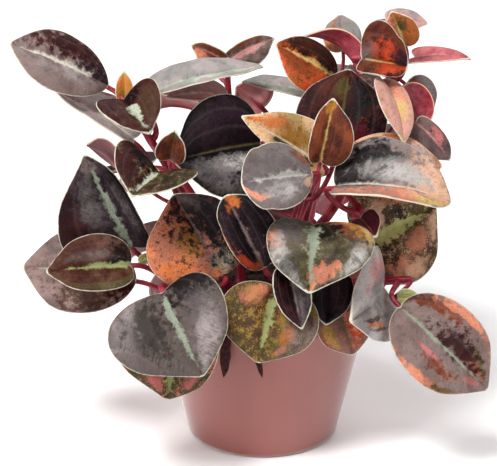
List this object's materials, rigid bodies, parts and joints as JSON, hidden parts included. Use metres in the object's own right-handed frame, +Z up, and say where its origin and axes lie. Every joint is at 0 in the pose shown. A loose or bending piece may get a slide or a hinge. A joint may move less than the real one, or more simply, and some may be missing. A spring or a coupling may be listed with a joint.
{
  "type": "potted plant",
  "caption": "Small bushy peperomia with fleshy heart-shaped maroon and silver leaves on red branching stems, growing in a pink tapered plastic nursery pot.",
  "frame": {"origin": "middle of the pot's flat base, on the surface it stands on", "axes": "+Z up along the pot's axis, -Y toward the plant's front, +X to the right seen from the front"},
  "size_m": [0.1559, 0.1289, 0.1431],
  "materials": {
    "pot_plastic": "satin",
    "soil_peat": "matte",
    "stem_skin": "satin",
    "leaf_skin": "satin"
  },
  "bodies": {
    "root": {"pot": "pot_plastic", "soil": "soil_peat", "stem_left": "stem_skin", "stem_front": "stem_skin", "stem_middle": "stem_skin", "stem_right": "stem_skin", "stem_top": "stem_skin", "stem_back_left": "stem_skin", "stem_back_right": "stem_skin", "leaf_a1": "leaf_skin", "leaf_a2": "leaf_skin", "leaf_a3": "leaf_skin", "leaf_a4": "leaf_skin", "leaf_a5": "leaf_skin", "leaf_b1": "leaf_skin", "leaf_b2": "leaf_skin", "leaf_c1": "leaf_skin", "leaf_c2": "leaf_skin", "leaf_d1": "leaf_skin", "leaf_d2": "leaf_skin", "leaf_d3": "leaf_skin", "leaf_e1": "leaf_skin", "leaf_e2": "leaf_skin", "leaf_e3": "leaf_skin", "leaf_e4": "leaf_skin", "leaf_e5": "leaf_skin", "leaf_f1": "leaf_skin", "leaf_f2": "leaf_skin", "leaf_f3": "leaf_skin", "leaf_f4": "leaf_skin", "leaf_g1": "leaf_skin", "leaf_g2": "leaf_skin", "leaf_g3": "leaf_skin", "leaf_h1": "leaf_skin", "leaf_h2": "leaf_skin", "leaf_h3": "leaf_skin", "leaf_h4": "leaf_skin", "leaf_i1": "leaf_skin", "leaf_i2": "leaf_skin", "leaf_i4": "leaf_skin", "leaf_i5": "leaf_skin", "leaf_j1": "leaf_skin", "leaf_j2": "leaf_skin", "leaf_j4": "leaf_skin", "leaf_j5": "leaf_skin", "leaf_j6": "leaf_skin", "leaf_j7": "leaf_skin", "leaf_j8": "leaf_skin", "leaf_j9": "leaf_skin", "leaf_k3": "leaf_skin", "leaf_k4": "leaf_skin", "leaf_k5": "leaf_skin", "leaf_k6": "leaf_skin", "leaf_m1": "leaf_skin", "leaf_m2": "leaf_skin", "leaf_m3": "leaf_skin", "leaf_n1": "leaf_skin", "leaf_n2": "leaf_skin", "leaf_n3": "leaf_skin", "leaf_n4": "leaf_skin"}
  },
  "joints": []
}
